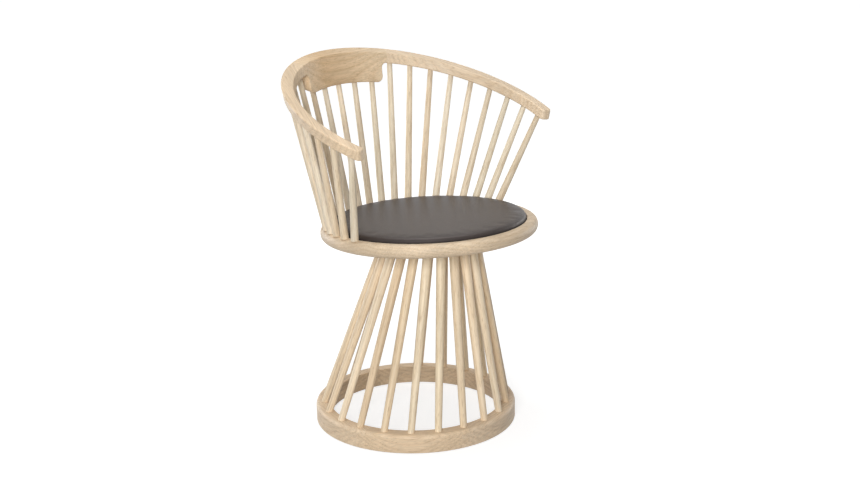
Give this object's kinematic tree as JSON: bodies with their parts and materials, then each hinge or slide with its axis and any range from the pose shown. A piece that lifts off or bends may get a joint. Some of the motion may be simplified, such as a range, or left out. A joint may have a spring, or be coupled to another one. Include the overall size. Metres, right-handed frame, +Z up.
{
  "type": "dining armchair",
  "caption": "Round wooden dining armchair: cone of turned spindles on a ring base, raked disc seat with a leather pad, and a fan of spindles under a sloping curved bow with a deep crest.",
  "frame": {"origin": "on the floor under the middle of the chair's outline", "axes": "+Z up, -Y towards the front of the chair, +X to the sitter's left as the chair faces -Y"},
  "size_m": [0.5888, 0.5176, 0.7727],
  "materials": {
    "oak": "matt lacquered pale oak",
    "plywood": "bare plywood",
    "foam": "open-cell foam",
    "leather": "smooth charcoal leather",
    "screw_steel": "zinc plated",
    "glide_felt": "pressed felt"
  },
  "bodies": {
    "root": {"back_spindle_01": "oak", "back_spindle_02": "oak", "back_spindle_03": "oak", "back_spindle_04": "oak", "back_spindle_05": "oak", "back_spindle_06": "oak", "back_spindle_07": "oak", "back_spindle_08": "oak", "back_spindle_09": "oak", "back_spindle_10": "oak", "back_spindle_11": "oak", "back_spindle_12": "oak", "back_spindle_13": "oak", "back_spindle_14": "oak", "back_spindle_15": "oak", "back_spindle_16": "oak", "back_spindle_17": "oak", "back_spindle_18": "oak", "back_spindle_19": "oak", "back_spindle_20": "oak", "back_spindle_21": "oak", "back_spindle_22": "oak", "back_spindle_23": "oak", "base_ring_segment_1": "oak", "base_ring_segment_2": "oak", "base_ring_segment_3": "oak", "base_ring_segment_4": "oak", "base_ring_segment_5": "oak", "base_ring_segment_6": "oak", "base_spindle_01": "oak", "base_spindle_02": "oak", "base_spindle_03": "oak", "base_spindle_04": "oak", "base_spindle_05": "oak", "base_spindle_06": "oak", "base_spindle_07": "oak", "base_spindle_08": "oak", "base_spindle_09": "oak", "base_spindle_10": "oak", "base_spindle_11": "oak", "base_spindle_12": "oak", "base_spindle_13": "oak", "base_spindle_14": "oak", "base_spindle_15": "oak", "base_spindle_16": "oak", "base_spindle_17": "oak", "base_spindle_18": "oak", "base_spindle_19": "oak", "base_spindle_20": "oak", "base_spindle_21": "oak", "base_spindle_22": "oak", "crest": "oak", "floor_glides": "glide_felt", "left_arm": "oak", "pad_board": "plywood", "pad_cover": "leather", "pad_foam": "foam", "pad_screws": "screw_steel", "right_arm": "oak", "seat": "oak"}
  },
  "joints": []
}
